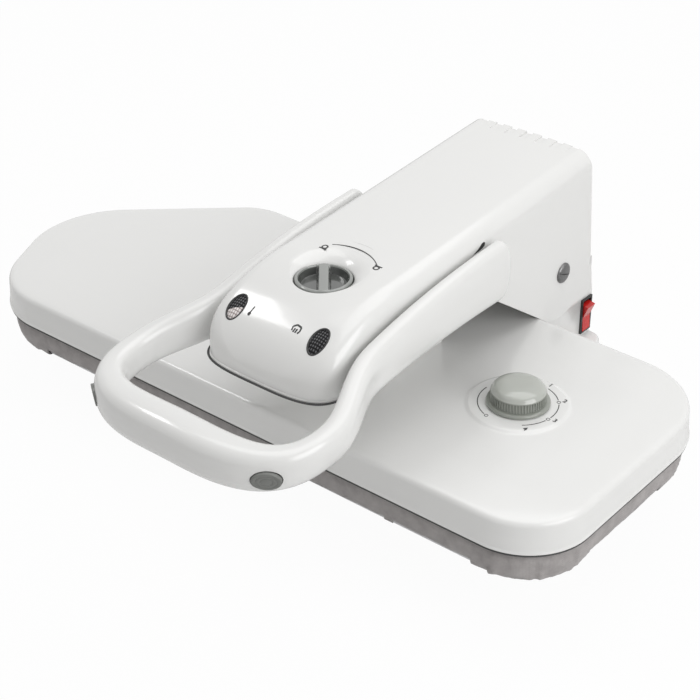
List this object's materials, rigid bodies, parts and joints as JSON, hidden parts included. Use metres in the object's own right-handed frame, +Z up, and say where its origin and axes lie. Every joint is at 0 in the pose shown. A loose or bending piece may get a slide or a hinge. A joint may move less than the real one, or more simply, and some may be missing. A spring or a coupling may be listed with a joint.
{
  "type": "steam ironing press",
  "caption": "Table-top steam ironing press: a wide padded board on a low base, a heated head on a hinged arm, and a looped handle.",
  "frame": {"origin": "centre of the bounding box on the table plane, with the press closed", "axes": "+X to the user's right along the board, +Y from the handle back to the hinge column, +Z up"},
  "size_m": [0.661, 0.5236, 0.2399],
  "materials": {
    "white_plastic": "moulded, glossy",
    "grey_fabric": "woven cotton cover, slightly wrinkled",
    "foam": "open foam pad",
    "grey_plastic": "moulded, satin",
    "black_plastic": "fine moulded grain",
    "red_plastic": "moulded, glossy",
    "rubber_grey": "moulded rubber",
    "plated_steel": "zinc plated",
    "spring_steel": "oiled spring wire",
    "cast_alloy": "die cast, smooth sole",
    "sheet_alloy": "rolled sheet",
    "element_steel": "heat-tinted tube",
    "bronze": "sintered bronze",
    "tank_plastic": "translucent moulded tank",
    "board_green": "coated circuit board",
    "ceramic_body": "fired ceramic",
    "lens_dark": "dark perforated window"
  },
  "bodies": {
    "base": {"base_pan": "white_plastic", "base_plate": "sheet_alloy", "rubber_feet": "rubber_grey", "base_screws": "plated_steel", "column_cover": "white_plastic", "column_bracket": "plated_steel", "hinge_bushes": "bronze", "catch_pin": "plated_steel", "lift_springs": "spring_steel", "board_tray": "sheet_alloy", "foam_pad": "foam", "board_cover": "grey_fabric", "board_screws": "plated_steel", "switch_bezel": "black_plastic", "switch_body": "black_plastic", "cord_gland": "black_plastic"},
    "head": {"plate_cover": "white_plastic", "heating_plate": "cast_alloy", "heating_element": "element_steel", "heat_shield": "sheet_alloy", "plate_screws": "plated_steel", "thermostat": "ceramic_body", "thermal_cutout": "ceramic_body", "arm_neck": "white_plastic", "platen_bracket": "plated_steel", "arm_housing": "white_plastic", "arm_floor": "white_plastic", "arm_frame": "plated_steel", "hinge_shaft": "plated_steel", "pivot_screws": "plated_steel", "water_tank": "tank_plastic", "steam_pump": "black_plastic", "water_hose": "rubber_grey", "steam_pipe": "bronze", "lens_bezels": "black_plastic", "indicator_lenses": "lens_dark", "indicator_board": "board_green"},
    "handle": {"handle_loop": "white_plastic", "handle_core": "plated_steel", "handle_shaft": "plated_steel", "toggle_crank": "plated_steel", "toggle_pin": "plated_steel", "steam_switches": "black_plastic"},
    "toggle_link": {"toggle_link": "plated_steel"},
    "rocker_switch": {"rocker_switch": "red_plastic"},
    "steam_button_left": {"steam_button_left": "grey_plastic"},
    "steam_button_right": {"steam_button_right": "grey_plastic"},
    "filler_cap": {"filler_cap": "grey_plastic", "cap_seal": "rubber_grey"},
    "thermostat_knob": {"thermostat_knob": "grey_plastic"}
  },
  "joints": [
    {"name": "head_hinge", "type": "hinge", "parent": "base", "child": "head", "pos_m": [0.0815, 0.17575, 0.1345], "axis": [-1, 0, 0], "range_deg": [0, 45]},
    {"name": "handle_pivot", "type": "hinge", "parent": "head", "child": "handle", "pos_m": [0.0815, 0.05075, 0.19], "axis": [-1, 0, 0], "range_deg": [0, 21.7]},
    {"name": "toggle_pivot", "type": "hinge", "parent": "handle", "child": "toggle_link", "pos_m": [0.0815, 0.06225, 0.17008], "axis": [-1, 0, 0], "range_deg": [-15.2, 0]},
    {"name": "rocker_pivot", "type": "hinge", "parent": "base", "child": "rocker_switch", "pos_m": [0.1295, 0.22995, 0.065], "axis": [0, -1, 0], "range_deg": [0, 18]},
    {"name": "left_button_slide", "type": "slide", "parent": "handle", "child": "steam_button_left", "axis": [0.576, 0.8084, 0.1213], "range_m": [0, 0.0015], "stiffness_N_per_m": 400},
    {"name": "right_button_slide", "type": "slide", "parent": "handle", "child": "steam_button_right", "axis": [-0.576, 0.8084, 0.1213], "range_m": [0, 0.0015], "stiffness_N_per_m": 400},
    {"name": "cap_turn", "type": "hinge", "parent": "head", "child": "filler_cap", "pos_m": [0.0815, -0.07325, 0.206], "axis": [0, 0, 1], "range_deg": [0, 90]},
    {"name": "thermostat_turn", "type": "hinge", "parent": "head", "child": "thermostat_knob", "pos_m": [0.2105, 0.01575, 0.1063], "axis": [0, 0, -1], "range_deg": [0, 270]}
  ],
  "couplings": [
    {"joint": "handle_pivot", "follows": "head_hinge", "ratio": 0.4706},
    {"joint": "toggle_pivot", "follows": "head_hinge", "ratio": -0.3256}
  ]
}
